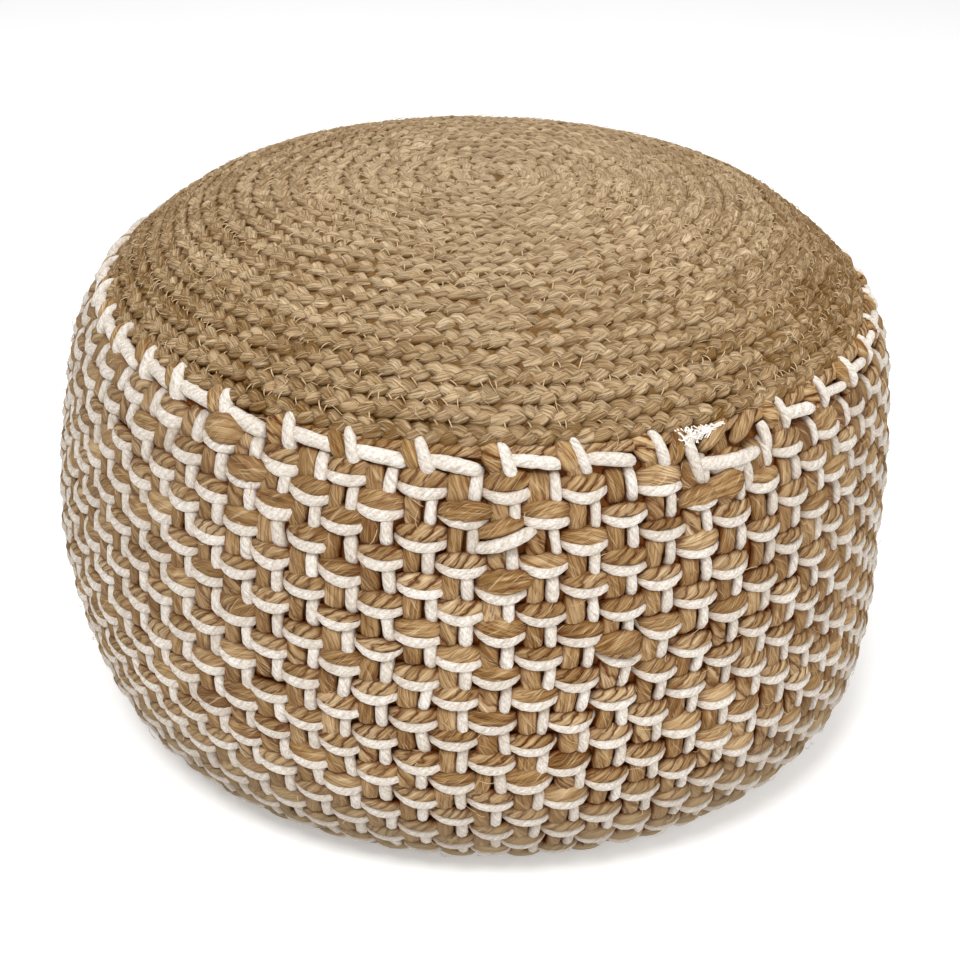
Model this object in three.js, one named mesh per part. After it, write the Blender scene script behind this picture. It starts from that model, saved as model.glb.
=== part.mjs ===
// Jute pouf: a round floor cushion. Its side is woven from jute and cotton cord, its top is a coiled
// braid of jute, and white cotton cord laces the two together over the braid's edge.
// Millimetres, +Z up. The origin is on the floor under the middle of the pouf, and the front is at -Y.
import * as THREE from 'three';

// Outline of the filled pouf, from the base edge over the belly and the seam to the crown
const BASE_RADIUS = 183.6;
const BELLY_RADIUS = 250;
const BELLY_HEIGHT = 121;
const SEAM_RADIUS = 223.5;
const SEAM_HEIGHT = 264.3;
const CROWN_HEIGHT = 318.6;
// How square the outline is below the belly, between belly and seam, and over the crown
const LOWER_FULLNESS = 2.79;
const UPPER_FULLNESS = 3.7;
const CROWN_FULLNESS = 4.16;
const OUTLINE_STEPS = 120;
// The skin's slope is read over this length, so that the shoulder at the seam is round
const SLOPE_REACH = 8;

// The filling leans a little: sideways place of the section's middle at each height
const LEAN = [
  { height: 0, sideways: 10.3 },
  { height: BELLY_HEIGHT, sideways: -1.5 },
  { height: CROWN_HEIGHT, sideways: 6.6 },
];

// The seam wanders up and down along the skin: its mean rise, and the share with the turn from the front
const SEAM_RISE = { mean: 3.5, front: -6, right: -2.5 };

// Woven side: cord pairs up and down, and floats of cord across them in every second cell
const COLUMNS = 82;
const FIRST_COLUMN_TURN = THREE.MathUtils.degToRad(-1);
const FLOAT_ROWS = 23;
const FIRST_ROW_BELOW_SEAM = 11;
const ROW_PITCH = 12.75;
const CORD_RELIEF = 4;
// Rows above this one follow the seam's wandering
const LEVEL_ROW = 4;

// Braided top
const BRAID_PITCH = 10.5;
const BRAID_THICKNESS = 9;
const BRAID_GROOVE = 3.5;
const BRAID_TURNS = 21.5;
const BRAID_STEPS_PER_TURN = COLUMNS / 2;
const BRAID_END_STEP = 39;
// Where the underside is cut into rings, as shares of the way from the rim to the middle
const UNDERSIDE_RINGS = [0.09, 0.2, 0.36, 0.6];

// The strip along the seam where side and braid lie deeper, under the lacing
const LACING_BED = { depth: 5, below: 17.5, above: 8 };
const LACING_INNER_DEPTH = 3;
const LACING_ROUNDING = 0.45;

// One repeat of the lacing, two columns wide: a leaning peg over the braid's edge, then a long float.
// turn is the share of the repeat, low and high are measured up the skin from the seam, lean shifts the
// high edge sideways, and proud is how far the cord stands off the skin.
const LACING_REPEAT = [
  { turn: -0.11, low: -14.5, high: 3, lean: -4, proud: 0.4 },
  { turn: 0, low: -15.5, high: 4.5, lean: -4, proud: 2.6 },
  { turn: 0.11, low: -14.5, high: 3, lean: -4, proud: 0.4 },
  { turn: 0.15, low: -11, high: -4.5, lean: 0, proud: -0.5 },
  { turn: 0.32, low: -11.8, high: -5, lean: 0, proud: 1.6 },
  { turn: 0.58, low: -14.2, high: -7.4, lean: 0, proud: 1.6 },
  { turn: 0.85, low: -16.5, high: -10, lean: 0, proud: -0.5 },
];

// Base panel, let into the underside
const PANEL_RADIUS = 178;
const PANEL_THICKNESS = 3.7;

// Clearances between pieces
const PANEL_GAP = 0.6;
const BRAID_GAP = 1.2;
const RIM_GAP = 0.8;

const COLUMN_TURN = (2 * Math.PI) / COLUMNS;

// Points of the outline as radius and height, with the way along it from the base edge
function outlinePoints() {
  const points = [];
  for (let i = 0; i <= OUTLINE_STEPS; i++) {
    const angle = ((Math.PI / 2) * i) / OUTLINE_STEPS;
    const out = Math.sin(angle) ** (2 / LOWER_FULLNESS);
    const up = 1 - Math.max(0, Math.cos(angle)) ** (2 / LOWER_FULLNESS);
    points.push({
      radius: BASE_RADIUS + (BELLY_RADIUS - BASE_RADIUS) * out,
      height: BELLY_HEIGHT * up,
    });
  }
  for (let i = 1; i <= OUTLINE_STEPS; i++) {
    const share = i / OUTLINE_STEPS;
    points.push({
      radius: BELLY_RADIUS - (BELLY_RADIUS - SEAM_RADIUS) * share ** UPPER_FULLNESS,
      height: BELLY_HEIGHT + (SEAM_HEIGHT - BELLY_HEIGHT) * share,
    });
  }
  const seamIndex = points.length - 1;
  for (let i = 1; i <= OUTLINE_STEPS; i++) {
    const share = 1 - i / OUTLINE_STEPS;
    points.push({
      radius: SEAM_RADIUS * share,
      height: SEAM_HEIGHT + (CROWN_HEIGHT - SEAM_HEIGHT) * (1 - share ** CROWN_FULLNESS),
    });
  }
  points[0].along = 0;
  for (let i = 1; i < points.length; i++) {
    const step = Math.hypot(
      points[i].radius - points[i - 1].radius,
      points[i].height - points[i - 1].height,
    );
    points[i].along = points[i - 1].along + step;
  }
  return { points, seamAlong: points[seamIndex].along };
}

const OUTLINE = outlinePoints();
const SEAM_ALONG = OUTLINE.seamAlong;
const CROWN_ALONG = OUTLINE.points[OUTLINE.points.length - 1].along;

// Reads a table at a key by straight lines between its rows, held at its ends
function readTable(rows, key, at, value) {
  const last = rows.length - 1;
  if (at <= rows[0][key]) {
    return rows[0][value];
  }
  for (let i = 1; i <= last; i++) {
    if (at <= rows[i][key]) {
      const share = (at - rows[i - 1][key]) / (rows[i][key] - rows[i - 1][key]);
      return rows[i - 1][value] + share * (rows[i][value] - rows[i - 1][value]);
    }
  }
  return rows[last][value];
}

function outlineAt(along) {
  return new THREE.Vector2(
    readTable(OUTLINE.points, 'along', along, 'radius'),
    readTable(OUTLINE.points, 'along', along, 'height'),
  );
}

// A point of the pouf: turn from the front, way along the outline, and depth under the skin
function skinPoint(turn, along, depth) {
  const place = outlineAt(along);
  const slope = outlineAt(along + SLOPE_REACH).sub(outlineAt(along - SLOPE_REACH)).normalize();
  const radius = place.x - depth * slope.y;
  const height = place.y + depth * slope.x;
  return pointAt(turn, radius, height);
}

function pointAt(turn, radius, height) {
  const sideways = readTable(LEAN, 'height', height, 'sideways');
  return new THREE.Vector3(sideways + radius * Math.sin(turn), -radius * Math.cos(turn), height);
}

// A point of the flat underside, where the section's middle doesn't shift with height
function basePoint(turn, radius, height) {
  return pointAt(turn, radius, 0).setZ(height);
}

// Way along the outline to the seam, which rides higher at the back and the left
function seamAt(turn) {
  return SEAM_ALONG + SEAM_RISE.mean + SEAM_RISE.front * Math.cos(turn) + SEAM_RISE.right * Math.sin(turn);
}

function columnTurn(column) {
  return FIRST_COLUMN_TURN + column * COLUMN_TURN;
}

// A closed shell of points and triangles, built ring by ring from the middle of its underside,
// outwards and up, to the middle of its top. Rings run anticlockwise seen from above.
class Shell {
  constructor() {
    this.positions = [];
    this.faces = [];
  }

  point(vector) {
    this.positions.push(vector.x, vector.y, vector.z);
    return this.positions.length / 3 - 1;
  }

  ring(count, place) {
    const ids = [];
    for (let i = 0; i < count; i++) {
      ids.push(this.point(place(i)));
    }
    return ids;
  }

  triangle(a, b, c) {
    this.faces.push(a, b, c);
  }

  // A four-sided face, cut from its first corner to its third, or from its second to its fourth
  quad(a, b, c, d, cutFromSecond = false) {
    if (cutFromSecond) {
      this.triangle(a, b, d);
      this.triangle(b, c, d);
    } else {
      this.triangle(a, b, c);
      this.triangle(a, c, d);
    }
  }

  bridge(before, after, cutFromSecond = () => false) {
    const count = before.length;
    for (let i = 0; i < count; i++) {
      const next = (i + 1) % count;
      this.quad(before[i], before[next], after[next], after[i], cutFromSecond(i));
    }
  }

  // Joins a ring to one that has a point at every second point of it
  bridgeToHalf(before, after) {
    const count = before.length;
    for (let i = 0; i < after.length; i++) {
      const next = (i + 1) % after.length;
      const middle = 2 * i + 1;
      this.triangle(before[2 * i], before[middle], after[i]);
      this.triangle(before[middle], before[(middle + 1) % count], after[next]);
      this.triangle(before[middle], after[next], after[i]);
    }
  }

  closeBelow(middle, ring) {
    ring.forEach((id, i) => this.triangle(middle, ring[(i + 1) % ring.length], id));
  }

  closeAbove(ring, middle) {
    ring.forEach((id, i) => this.triangle(id, ring[(i + 1) % ring.length], middle));
  }

  geometry() {
    const geometry = new THREE.BufferGeometry();
    geometry.setAttribute('position', new THREE.Float32BufferAttribute(this.positions, 3));
    geometry.setIndex(this.faces);
    geometry.computeVertexNormals();
    return geometry;
  }
}

// The filled body: woven side with its floats raised, flat foot, and a plain crown under the braid
function wovenBody() {
  const shell = new Shell();
  const wholeRing = (place) => shell.ring(COLUMNS, (column) => place(columnTurn(column), column));
  const halfRing = (place) => shell.ring(COLUMNS / 2, (step) => place(columnTurn(2 * step)));

  const recessRadius = PANEL_RADIUS + PANEL_GAP;
  const recessHeight = PANEL_THICKNESS + PANEL_GAP;
  const underMiddle = shell.point(basePoint(0, 0, recessHeight));
  const rings = [
    wholeRing((turn) => basePoint(turn, recessRadius, recessHeight)),
    wholeRing((turn) => basePoint(turn, recessRadius, 0)),
    wholeRing((turn) => skinPoint(turn, 0, 0)),
  ];
  shell.closeBelow(underMiddle, rings[0]);
  shell.bridge(rings[0], rings[1]);
  shell.bridge(rings[1], rings[2]);

  let below = rings[2];
  for (let row = FLOAT_ROWS - 1; row >= 1; row--) {
    const isFloat = (column) => (row + column) % 2 === 0;
    const above = wholeRing((turn, column) => {
      const share = Math.max(0, 1 - row / LEVEL_ROW);
      const seam = SEAM_ALONG + share * (seamAt(turn) - SEAM_ALONG);
      const along = seam - FIRST_ROW_BELOW_SEAM - row * ROW_PITCH;
      return skinPoint(turn, along, isFloat(column) ? 0 : CORD_RELIEF);
    });
    // Each face is cut along its valley, so that every float stands as a lens of its own
    shell.bridge(below, above, (column) => !isFloat(column));
    below = above;
  }
  const bedBottom = wholeRing((turn) => (
    skinPoint(turn, seamAt(turn) - LACING_BED.below, LACING_BED.depth)
  ));
  const seamEdge = wholeRing((turn) => skinPoint(turn, seamAt(turn), LACING_BED.depth));
  const ledge = wholeRing((turn) => skinPoint(turn, seamAt(turn), BRAID_THICKNESS + BRAID_GAP));
  shell.bridge(below, bedBottom);
  shell.bridge(bedBottom, seamEdge);
  shell.bridge(seamEdge, ledge);

  const crownRings = UNDERSIDE_RINGS.map((share) => halfRing((turn) => (
    skinPoint(turn, seamAt(turn) + share * (CROWN_ALONG - seamAt(turn)), BRAID_THICKNESS + BRAID_GAP)
  )));
  shell.bridgeToHalf(ledge, crownRings[0]);
  for (let i = 1; i < crownRings.length; i++) {
    shell.bridge(crownRings[i - 1], crownRings[i]);
  }
  const topMiddle = shell.point(skinPoint(0, CROWN_ALONG, BRAID_THICKNESS + BRAID_GAP));
  shell.closeAbove(crownRings[crownRings.length - 1], topMiddle);
  return shell.geometry();
}

// The coiled braid: a spiral of ridges with grooves between its turns, on a smooth underside
function braidedTop() {
  const shell = new Shell();
  const steps = BRAID_STEPS_PER_TURN;
  const lastStep = Math.round(BRAID_TURNS * steps);
  const turnOfStep = (step) => columnTurn(2 * (BRAID_END_STEP + lastStep - step));
  const rimAt = (turn) => seamAt(turn) + RIM_GAP;

  // The braid lies at an even pitch from the middle, pressed a little closer where the seam is high
  const braidPoint = (step, outward, depth) => {
    const turn = turnOfStep(step);
    const fromMiddle = BRAID_PITCH * (step / steps + outward);
    const reach = (CROWN_ALONG - rimAt(turn)) / (CROWN_ALONG - SEAM_ALONG);
    const along = CROWN_ALONG - fromMiddle * reach;
    const inBed = along - rimAt(turn) < LACING_BED.above;
    return skinPoint(turn, along, inBed ? LACING_BED.depth : depth);
  };
  const middle = shell.point(skinPoint(0, CROWN_ALONG, 0));
  const ridge = [middle];
  const groove = [];
  for (let step = 0; step <= lastStep; step++) {
    if (step > 0) {
      ridge.push(shell.point(braidPoint(step, 0, 0)));
    }
    groove.push(shell.point(braidPoint(step, 0.5, BRAID_GROOVE)));
  }

  // The first turn closes on the middle
  for (let step = 1; step < steps - 1; step++) {
    shell.triangle(middle, ridge[step + 1], ridge[step]);
  }
  shell.triangle(middle, groove[0], ridge[steps - 1]);
  shell.triangle(groove[0], ridge[steps], ridge[steps - 1]);

  for (let step = 0; step < lastStep; step++) {
    shell.quad(ridge[step], ridge[step + 1], groove[step + 1], groove[step]);
    if (step + 1 + steps <= lastStep) {
      shell.quad(groove[step], groove[step + 1], ridge[step + 1 + steps], ridge[step + steps]);
    }
  }

  // Rim, underside, and the braid's end, which stops short of the rim
  const ringTurn = (i) => columnTurn(2 * i);
  const rim = shell.ring(steps, (i) => skinPoint(ringTurn(i), rimAt(ringTurn(i)), LACING_BED.depth));
  const rimOfStep = (step) => rim[(((BRAID_END_STEP + lastStep - step) % steps) + steps) % steps];
  for (let step = lastStep - steps; step < lastStep; step++) {
    shell.quad(groove[step], groove[step + 1], rimOfStep(step + 1), rimOfStep(step));
  }
  const endRim = rimOfStep(lastStep);
  shell.triangle(groove[lastStep - steps], endRim, ridge[lastStep]);
  shell.triangle(ridge[lastStep], endRim, groove[lastStep]);

  const under = (along) => shell.ring(steps, (i) => (
    skinPoint(ringTurn(i), along(ringTurn(i)), BRAID_THICKNESS)
  ));
  let above = under(rimAt);
  shell.bridge(above, rim);
  for (const share of UNDERSIDE_RINGS) {
    const inner = under((turn) => seamAt(turn) + share * (CROWN_ALONG - seamAt(turn)));
    shell.bridge(inner, above);
    above = inner;
  }
  shell.closeBelow(shell.point(skinPoint(0, CROWN_ALONG, BRAID_THICKNESS)), above);
  return shell.geometry();
}

// The lacing: one closed cord band round the seam, a five-sided section at each row of its table
function edgeLacing() {
  const shell = new Shell();
  const repeats = COLUMNS / 2;
  const sections = [];
  for (let repeat = 0; repeat < repeats; repeat++) {
    for (const row of LACING_REPEAT) {
      const turn = columnTurn(2 * repeat + 1) + 2 * COLUMN_TURN * row.turn;
      const leanTurn = row.lean / SEAM_RADIUS;
      const roundDepth = LACING_INNER_DEPTH - LACING_ROUNDING * (LACING_INNER_DEPTH + row.proud);
      const corner = (share, depth) => {
        const cornerTurn = turn + share * leanTurn;
        return shell.point(skinPoint(
          cornerTurn,
          seamAt(turn) + row.low + share * (row.high - row.low),
          depth,
        ));
      };
      sections.push([
        corner(0, LACING_INNER_DEPTH),
        corner(0, roundDepth),
        corner(0.5, -row.proud),
        corner(1, roundDepth),
        corner(1, LACING_INNER_DEPTH),
      ]);
    }
  }
  sections.forEach((section, i) => {
    const next = sections[(i + 1) % sections.length];
    section.forEach((id, side) => {
      const other = (side + 1) % section.length;
      shell.quad(id, next[side], next[other], section[other]);
    });
  });
  return shell.geometry();
}

// The base panel: a plain round of cloth, flat on the floor
function basePanel() {
  const geometry = new THREE.CylinderGeometry(PANEL_RADIUS, PANEL_RADIUS, PANEL_THICKNESS, COLUMNS / 2);
  geometry.rotateX(Math.PI / 2);
  return geometry;
}

const materials = {
  wovenCord: new THREE.MeshStandardMaterial({ color: 0xb08e5e, roughness: 0.95, metalness: 0 }),
  juteBraid: new THREE.MeshStandardMaterial({ color: 0xa98a61, roughness: 0.95, metalness: 0 }),
  cottonCord: new THREE.MeshStandardMaterial({ color: 0xe9e4d8, roughness: 0.9, metalness: 0 }),
  baseCloth: new THREE.MeshStandardMaterial({ color: 0xb39c78, roughness: 0.95, metalness: 0 }),
};

function piece(name, geometry, material) {
  const mesh = new THREE.Mesh(geometry, material);
  mesh.name = name;
  return mesh;
}

const pouf = new THREE.Group();
pouf.name = 'jute_pouf';
pouf.add(piece('woven_body', wovenBody(), materials.wovenCord));
pouf.add(piece('braided_top', braidedTop(), materials.juteBraid));
pouf.add(piece('edge_lacing', edgeLacing(), materials.cottonCord));

const panel = piece('base_panel', basePanel(), materials.baseCloth);
panel.position.set(LEAN[0].sideways, 0, PANEL_THICKNESS / 2);
pouf.add(panel);

export default pouf;
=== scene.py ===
"""Looks of the jute pouf: its woven cords, lacing, coiled braid, stitches and stray fibres.

Lengths are in millimetres until a mesh is made, and turns run from the front (-Y) towards +X.
"""

import math

import bmesh
import bpy
import numpy as np
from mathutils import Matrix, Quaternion, Vector


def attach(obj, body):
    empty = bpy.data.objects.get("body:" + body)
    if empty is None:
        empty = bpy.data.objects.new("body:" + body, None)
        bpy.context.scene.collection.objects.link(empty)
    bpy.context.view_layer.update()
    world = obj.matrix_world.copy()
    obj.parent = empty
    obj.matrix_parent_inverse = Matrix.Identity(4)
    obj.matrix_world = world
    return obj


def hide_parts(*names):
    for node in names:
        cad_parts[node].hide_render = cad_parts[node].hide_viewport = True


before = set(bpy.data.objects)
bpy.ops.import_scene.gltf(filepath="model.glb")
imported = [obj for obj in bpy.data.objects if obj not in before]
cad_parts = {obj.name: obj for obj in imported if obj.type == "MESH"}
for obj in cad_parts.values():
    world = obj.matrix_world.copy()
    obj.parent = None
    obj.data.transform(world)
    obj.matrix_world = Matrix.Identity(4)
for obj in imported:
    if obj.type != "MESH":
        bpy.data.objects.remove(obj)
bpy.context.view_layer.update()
MM = 0.001

# Outline of the pouf, as in the frame but for a lean that is a little closer to the photo's
BASE_RADIUS = 183.6
BELLY_RADIUS = 250.0
BELLY_HEIGHT = 121.0
SEAM_RADIUS = 223.5
SEAM_HEIGHT = 264.3
CROWN_HEIGHT = 318.6
LOWER_FULLNESS = 2.79
UPPER_FULLNESS = 3.7
CROWN_FULLNESS = 4.16
OUTLINE_STEPS = 240
SLOPE_REACH = 8.0
FLAT_FOOT = 60.0
LEAN_HEIGHTS = (0.0, BELLY_HEIGHT, CROWN_HEIGHT)
LEAN_SIDEWAYS = (10.3, -0.6, 6.6)
SEAM_RISE_MEAN, SEAM_RISE_FRONT, SEAM_RISE_RIGHT = 3.5, -6.0, -2.5

# How much flatter than round the pouf is at its two sides, by height
FLAT_HEIGHTS = (20, 60, 110, 150, 200, 240, 272, 290, 304)
FLAT_SIDES = (0, 2.0, 0.8, 1.8, 5.2, 2.6, 6.8, 5.6, 0)

# Weave of the side
COLUMNS = 82
ROWS = 25
FIRST_COLUMN_TURN = math.radians(-1)
COLUMN_TURN = math.tau / COLUMNS
ROW_PITCH = 12.75
LEVEL_ROW = 4
BELLY_PITCH = BELLY_RADIUS * COLUMN_TURN
JOINT_COLUMN = 7
COTTON_BELOW = 14.0
JUTE_ABOVE_COTTON = 6.5
PEG_BELOW = 10.0
LOWEST_ALONG = -3.0

# Floats and pegs of the weave: stations, half lengths, half sizes across, and how far a peg stands aside
COTTON_FLOAT_STATIONS, JUTE_FLOAT_STATIONS, COTTON_PEG_STATIONS, JUTE_PEG_STATIONS = 10, 12, 7, 8
COTTON_FLOAT_REACH = 16.8
JUTE_FLOAT_REACH = 15.5
COTTON_FLOAT_HALF = 3.3
JUTE_FLOAT_WIDE, JUTE_FLOAT_THICK = 4.9, 4.1
JUTE_END_WIDE, JUTE_END_THICK = 2.5, 2.3
PEG_REACH = 10
COTTON_PEG_HALF, COTTON_PEG_ASIDE = 3.15, 4.4
JUTE_PEG_WIDE, JUTE_PEG_THICK, JUTE_PEG_ASIDE = 5.3, 3.4, -4.2
COTTON_BROADER = 1.03

# Lacing at the seam: stations, half sizes across, how far the cords climb and how far they go aside
LACING_STATIONS = 10
LACING_PEG_HALF, LACING_PEG_RISE, LACING_PEG_ASIDE = 3.4, 20.5, -7.4
LACING_FLOAT_HALF, LACING_FLOAT_DROP, LACING_FLOAT_ASIDE = 3.65, 2.9, 25.0
LACING_JUTE_RISE, LACING_JUTE_ASIDE = 13.6, -6.4

# How far the weave strays from an even lay, in steps of columns from the front and of the way below
# the seam: first sideways, then upwards
STRAY_COLUMNS = (-27, -14, -11, -8, -5, -2, 1, 4, 7, 10, 13, 27)
STRAY_BELOW = (10, 50, 90, 130, 170, 210, 250, 290)
STRAY_SIDEWAYS = (
    (0, -3, -5.5, -10, -3.5, -6, -1, 2.5, 9, 13, 10, 0),
    (0, -3, -6, -5.5, -4.5, -5.5, 0.5, 3, 9.5, 17, 11.5, 0),
    (0, 6, 1.5, -2.5, -4, -2.5, 1, 5.5, 10.5, 15, 17, 0),
    (0, 11.5, 3.5, -1, -2.5, -1.5, 1.5, 5.5, 11, 16.5, 20, 0),
    (0, 11.5, 3, -1.5, -3, -3, -0.5, 3, 8, 14, 18, 0),
    (0, 7, 1.5, -3, -5.5, -6, -4.5, -1, 4, 8.5, 12, 0),
    (0, 2.5, 1, -3.5, -8, -9.5, -7.5, -3.5, 2, 6.5, 9, 0),
    (0, 2, 1, -4, -9, -10, -8, -4, 2, 6, 8, 0))
STRAY_UPWARDS = (
    (0, 0.5, 2.5, 1, -1, -1.5, -1, -0.5, -0.5, -1.5, -2, 0),
    (0, 3.5, 4, 3, 1, -0.5, -2, -3.5, -4.5, -6.5, -8, 0),
    (0, 7, 6.5, 4.5, 2, 0, -2.5, -4.5, -7, -10.5, -12.5, 0),
    (0, 9.5, 8.5, 5, 2, -0.5, -2.5, -5, -8.5, -13, -17, 0),
    (0, 10, 9.5, 5.5, 1.5, -1, -2.5, -5, -8.5, -13, -16.5, 0),
    (0, 9, 9, 5.5, 1.5, -1.5, -3, -4.5, -7.5, -11.5, -13.5, 0),
    (0, 9, 9, 5.5, 2, -0.5, -2.5, -4, -6.5, -10, -12.5, 0),
    (0, 10, 10, 7, 4, 2, 0, -2, -4.5, -8, -10, 0))
# How far above and below a peg its slope is read
SLOPE_STEP = 6

# The joint of the panel, right of the front, and fat loops of jute: turns in degrees, millimetres below
# the seam and depths, each for the start, middle and end, then half width and half thickness
JOINT_COTTON = (
    ((25.5, 26.1, 27.3), (9, 18, 32), (1, 0.2, 4), 3.1, 3.1),
    ((27.0, 31.4, 36.0), (22.8, 25.0, 24.6), (3, 0.6, 4), 3.6, 3.6),
    ((0.4, 3.4, 6.6), (54.5, 51, 45.5), (4, 0.2, 4), 3.3, 3.3),
    ((37.4, 37.7, 38.2), (12, 19, 27), (3, 2.2, 6), 3.0, 3.0),
    ((33.8, 34.1, 34.3), (27, 34, 42), (4, 2.6, 6), 2.9, 2.9))
FAT_LOOPS = (
    ((27.9, 30.9, 33.5), (39, 36.0, 38), (6, 1.8, 6), 7.6, 4.4),
    ((24.4, 27.2, 30.0), (42, 38.6, 41), (6, 2.6, 6), 5.4, 4.0),
    ((23.2, 24.6, 25.2), (22, 12.0, 3), (6, 1.6, 3), 4.4, 3.6),
    ((27.9, 29.6, 32.4), (17, 11.0, 5), (6, 1.8, 4), 4.6, 3.6),
    ((32.6, 34.2, 36.6), (17, 10.5, 5), (4, 0.9, 3), 4.4, 3.4),
    ((-35.8, -32.9, -29.9), (18, 16.5, 18), (6, 0.8, 6), 7.8, 5.0),
    ((-31.0, -28.2, -25.3), (34, 31.5, 33), (6, 1.2, 6), 6.4, 4.6),
    ((0.2, 2.8, 5.6), (48, 44, 41), (6, 2.4, 6), 4.6, 3.8),
    ((0.7, 3.7, 6.9), (73, 70, 72.5), (6, 1.2, 6), 6.3, 4.4),
    ((14.4, 17.3, 20.2), (112, 109, 111.5), (6, 1.2, 6), 6.5, 4.4),
    ((-4.2, -1.1, 2.0), (38, 35.8, 37.5), (6, 1.4, 6), 5.2, 4.2))
LAID_STATIONS = 14
LAID_LENGTH = 25

# The frayed end of cotton: its start and end as turns in degrees and millimetres below the seam
FRAY_START, FRAY_END, FRAY_SPREAD, FRAY_THREADS = (24.0, 10.6), (31.0, 6.4), 6.0, 64

# Cells, by column and row, whose floats are among those laid one by one
LAID_CELLS = ((8, 1), (1, 3))

# Coiled braid of the top, and the half sizes of its strands
BRAID_PITCH = 10.5
BRAID_TURNS = 22.5
TUCKED_TURNS = 0.5
BRAID_START_TURNS = 0.34
BRAID_END_TURN = FIRST_COLUMN_TURN + 78 * COLUMN_TURN
BRAID_PERIOD = 28.5
BRAID_SECTIONS = 10
BRAID_SWING = 3.05
BRAID_LIFT = 1.5
BRAID_RADIUS = 226
STRAND_WIDE, STRAND_THICK = 3.15, 1.8
STRAND_DEPTH = 3.3
RIM_GAP = 0.8
STITCH_STEP = 3.3
EDGE_CORD_STATIONS = 420

# Half sizes across the finest threads, the number of stray fibres and how far out they are on top
FRAY_HALF, STITCH_HALF, FIBRE_HALF = (0.36, 0.32), (0.3, 0.26), (0.15, 0.13)
FIBRES, FIBRE_TOP_RADIUS = 1700, 232

# How far along its pattern a cord may start
PATTERN_SHIFT = 900

# Filling, base and the clearance of the lowest cords
BODY_UNDER_SIDE, BODY_UNDER_TOP = 7.0, 2.9
BODY_VOXEL, BODY_PRESSURE, BODY_FRAMES, BODY_LARGEST_MOVE = 8, 4.0, 20, 1
PANEL_RADIUS = 178.0
PANEL_RINGS = (174.0, 168.0, 160.0, 148.0, 130.0, 106.0, 78.0, 46.0, 16.0)
PANEL_HEIGHT = 2.4
PANEL_THICKNESS = 1.5
FLOOR_GAP = 0.2


# Outline

def outline_table():
    """Ways along the outline with their radii and heights, and the way to the seam. The outline goes
    from the foot's edge up to the crown's middle, after a flat stretch under the foot."""
    angle = np.linspace(0, math.pi / 2, OUTLINE_STEPS + 1)
    cosine = np.clip(np.cos(angle), 0, 1)
    share = np.linspace(0, 1, OUTLINE_STEPS + 1)[1:]
    radius = np.concatenate([
        BASE_RADIUS + (BELLY_RADIUS - BASE_RADIUS) * np.sin(angle) ** (2 / LOWER_FULLNESS),
        BELLY_RADIUS - (BELLY_RADIUS - SEAM_RADIUS) * share ** UPPER_FULLNESS,
        SEAM_RADIUS * (1 - share)])
    height = np.concatenate([
        BELLY_HEIGHT * (1 - cosine ** (2 / LOWER_FULLNESS)),
        BELLY_HEIGHT + (SEAM_HEIGHT - BELLY_HEIGHT) * share,
        SEAM_HEIGHT + (CROWN_HEIGHT - SEAM_HEIGHT) * (1 - (1 - share) ** CROWN_FULLNESS)])
    along = np.insert(np.cumsum(np.hypot(np.diff(radius), np.diff(height))), 0, 0)
    seam_along = along[2 * OUTLINE_STEPS]
    along = np.insert(along, 0, -FLAT_FOOT)
    return along, np.insert(radius, 0, BASE_RADIUS - FLAT_FOOT), np.insert(height, 0, 0), seam_along


OUTLINE_ALONG, OUTLINE_RADIUS, OUTLINE_HEIGHT, SEAM_ALONG = outline_table()
CROWN_ALONG = OUTLINE_ALONG[-1]


def radius_at(along):
    return np.interp(along, OUTLINE_ALONG, OUTLINE_RADIUS)


def height_at(along):
    return np.interp(along, OUTLINE_ALONG, OUTLINE_HEIGHT)


def flattened(turn, height):
    """How far the pouf is drawn in at a turn and a height, against a round one."""
    return np.interp(height, FLAT_HEIGHTS, FLAT_SIDES) * np.sin(turn) ** 2


def skin(turn, along, depth):
    """Points at a turn, a way along the outline and a depth under the skin."""
    turn, along, depth = np.broadcast_arrays(turn, along, depth)
    slope_out = radius_at(along + SLOPE_REACH) - radius_at(along - SLOPE_REACH)
    slope_up = height_at(along + SLOPE_REACH) - height_at(along - SLOPE_REACH)
    steep = np.hypot(slope_out, slope_up)
    radius = radius_at(along) - depth * slope_up / steep
    height = height_at(along) + depth * slope_out / steep
    radius = radius - flattened(turn, height)
    sideways = np.interp(height, LEAN_HEIGHTS, LEAN_SIDEWAYS)
    return np.stack([sideways + radius * np.sin(turn), -radius * np.cos(turn), height], axis=-1)


def outward_at(turn, along, depth):
    out = skin(turn, along, depth - 1.0) - skin(turn, along, depth)
    return out / np.linalg.norm(out, axis=-1, keepdims=True)


def seam_at(turn):
    return SEAM_ALONG + SEAM_RISE_MEAN + SEAM_RISE_FRONT * np.cos(turn) + SEAM_RISE_RIGHT * np.sin(turn)


def top_stretch(turn):
    """How much longer than even the way from the crown's middle to the braid's rim is at a turn."""
    return (CROWN_ALONG - seam_at(turn) - RIM_GAP) / (CROWN_ALONG - SEAM_ALONG)


def reached(value, start, end):
    """How far a value has come on its way from start to end, as a share from 0 to 1."""
    return np.clip((value - start) / (end - start), 0, 1)


# Chance

class Chance:
    """Seeded draws for a number of cords, with a row for each cord."""

    def __init__(self, dice, count):
        self.dice = dice
        self.count = count

    def own(self, spread, stations=1):
        """A spread about 0 for each cord, or for each of its stations."""
        return spread * self.dice.normal(0, 1, (self.count, stations))

    def within(self, least, most):
        return self.dice.uniform(least, most, (self.count, 1))

    def some(self, share):
        """1 for a share of the cords, and 0 for the rest."""
        return (self.within(0, 1) < share) * 1.0

    def stations(self, start, end, count):
        """The same even stations for every cord."""
        return np.linspace(start, end, count) + np.zeros((self.count, 1))


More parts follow.
